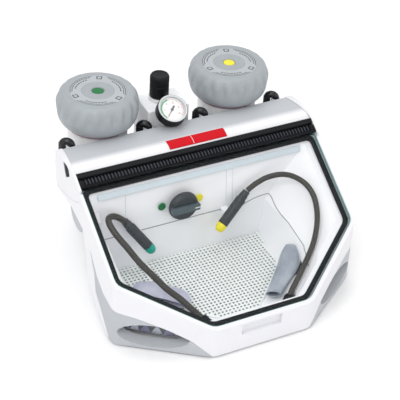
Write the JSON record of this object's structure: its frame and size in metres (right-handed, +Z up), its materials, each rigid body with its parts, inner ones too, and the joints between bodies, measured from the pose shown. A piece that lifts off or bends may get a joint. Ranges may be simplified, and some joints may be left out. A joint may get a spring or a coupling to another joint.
{
  "type": "sandblast cabinet",
  "caption": "Desktop fine sandblasting cabinet: six-sided hinged sight window, arm openings, nozzle handpieces on hoses, perforated plate, screw-lid pressure tanks, regulator and gauge.",
  "frame": {"origin": "middle of the footprint on the surface that the four feet stand on", "axes": "+X to the right as the user sits, +Y to the rear, towards the tanks, +Z up"},
  "size_m": [0.377, 0.4006, 0.254],
  "materials": {
    "white_plastic": "satin",
    "grey_plastic": "satin",
    "pale_plastic": "satin",
    "lid_plastic": "satin",
    "black_plastic": "satin",
    "charcoal_plastic": "satin",
    "black_rubber": "matt",
    "hose_rubber": "matt",
    "steel": "brushed",
    "brass": "machined",
    "window_glass": "clear",
    "tank_paint": "satin",
    "badge_red": "gloss",
    "tip_teal": "gloss",
    "tip_yellow": "gloss",
    "sleeve_lilac": "soft",
    "sleeve_blue": "soft",
    "seal_rose": "matt",
    "lamp_diffuser": "satin"
  },
  "bodies": {
    "cabinet": {"housing": "white_plastic", "arm_insert_left": "grey_plastic", "arm_insert_right": "grey_plastic", "base_plate": "grey_plastic", "foot_front_left": "black_rubber", "foot_front_right": "black_rubber", "foot_rear_left": "black_rubber", "foot_rear_right": "black_rubber", "chamber_liner": "pale_plastic", "perforated_plate": "steel", "lamp_diffuser": "lamp_diffuser", "cuff_left": "sleeve_lilac", "cuff_right": "sleeve_blue", "nozzle_tip_left": "tip_teal", "nozzle_tip_right": "tip_yellow", "handpiece_left": "charcoal_plastic", "handpiece_right": "charcoal_plastic", "hose_left": "hose_rubber", "hose_right": "hose_rubber", "hose_grommet_left": "black_rubber", "hose_grommet_right": "black_rubber", "selector_valve": "brass", "end_plate_left": "white_plastic", "end_plate_right": "white_plastic", "hinge_rail": "black_plastic", "top_cover": "white_plastic", "badge_plate": "badge_red", "side_grip_left": "grey_plastic", "side_grip_right": "grey_plastic", "tank_body_left": "tank_paint", "tank_body_right": "tank_paint", "mixing_chamber_left": "brass", "mixing_chamber_right": "brass", "air_hose_left_outer": "black_rubber", "air_hose_left_inner": "black_rubber", "air_hose_right_outer": "black_rubber", "air_hose_right_inner": "black_rubber", "rear_housing": "pale_plastic", "suction_spigot": "grey_plastic", "air_inlet": "brass", "air_manifold": "steel", "regulator_body": "pale_plastic", "gauge_housing": "black_plastic", "gauge_dial": "white_plastic", "gauge_lens": "window_glass"},
    "window": {"window_glass": "window_glass", "window_gasket": "black_rubber", "hinge_strip": "black_plastic", "hinge_pin_left": "steel", "hinge_pin_right": "steel"},
    "lid_seal_left": {"lid_seal_left": "seal_rose"},
    "lid_left": {"tank_lid_left": "lid_plastic"},
    "lid_seal_right": {"lid_seal_right": "seal_rose"},
    "lid_right": {"tank_lid_right": "lid_plastic"},
    "regulator_lift": {"lock_ring": "steel"},
    "regulator_dial": {"regulator_knob": "black_plastic"},
    "gauge_pointer": {"gauge_needle": "black_plastic"},
    "selector": {"selector_knob": "charcoal_plastic"}
  },
  "joints": [
    {"name": "window_hinge", "type": "hinge", "parent": "cabinet", "child": "window", "pos_m": [0, 0.00731, 0.18446], "axis": [-1, 0, 0], "range_deg": [0, 95]},
    {"name": "lid_lift_left", "type": "slide", "parent": "cabinet", "child": "lid_seal_left", "axis": [0, 0, 1], "range_m": [0, 0.0091]},
    {"name": "lid_turn_left", "type": "hinge", "parent": "lid_seal_left", "child": "lid_left", "pos_m": [-0.1046, 0.12483, 0.221], "axis": [0, 0, 1], "range_deg": [0, 540]},
    {"name": "lid_lift_right", "type": "slide", "parent": "cabinet", "child": "lid_seal_right", "axis": [0, 0, 1], "range_m": [0, 0.0091]},
    {"name": "lid_turn_right", "type": "hinge", "parent": "lid_seal_right", "child": "lid_right", "pos_m": [0.1046, 0.12483, 0.221], "axis": [0, 0, 1], "range_deg": [0, 540]},
    {"name": "regulator_pull", "type": "slide", "parent": "cabinet", "child": "regulator_lift", "axis": [0, 0, 1], "range_m": [0, 0.003]},
    {"name": "regulator_turn", "type": "hinge", "parent": "regulator_lift", "child": "regulator_dial", "pos_m": [-0.01, 0.12133, 0.236], "axis": [0, 0, -1], "range_deg": [0, 1080]},
    {"name": "gauge_sweep", "type": "hinge", "parent": "cabinet", "child": "gauge_pointer", "pos_m": [-0.011, 0.07433, 0.224], "axis": [0, 0.5446, -0.8387], "range_deg": [0, 270], "stiffness_Nm_per_rad": 0.0005},
    {"name": "selector_turn", "type": "hinge", "parent": "cabinet", "child": "selector", "pos_m": [-0.0345, -0.00567, 0.121], "axis": [0, -1, 0], "range_deg": [0, 180]}
  ],
  "couplings": [
    {"joint": "lid_lift_left", "follows": "lid_turn_left", "m_per_rad": 0.000955},
    {"joint": "lid_lift_right", "follows": "lid_turn_right", "m_per_rad": 0.000955}
  ]
}
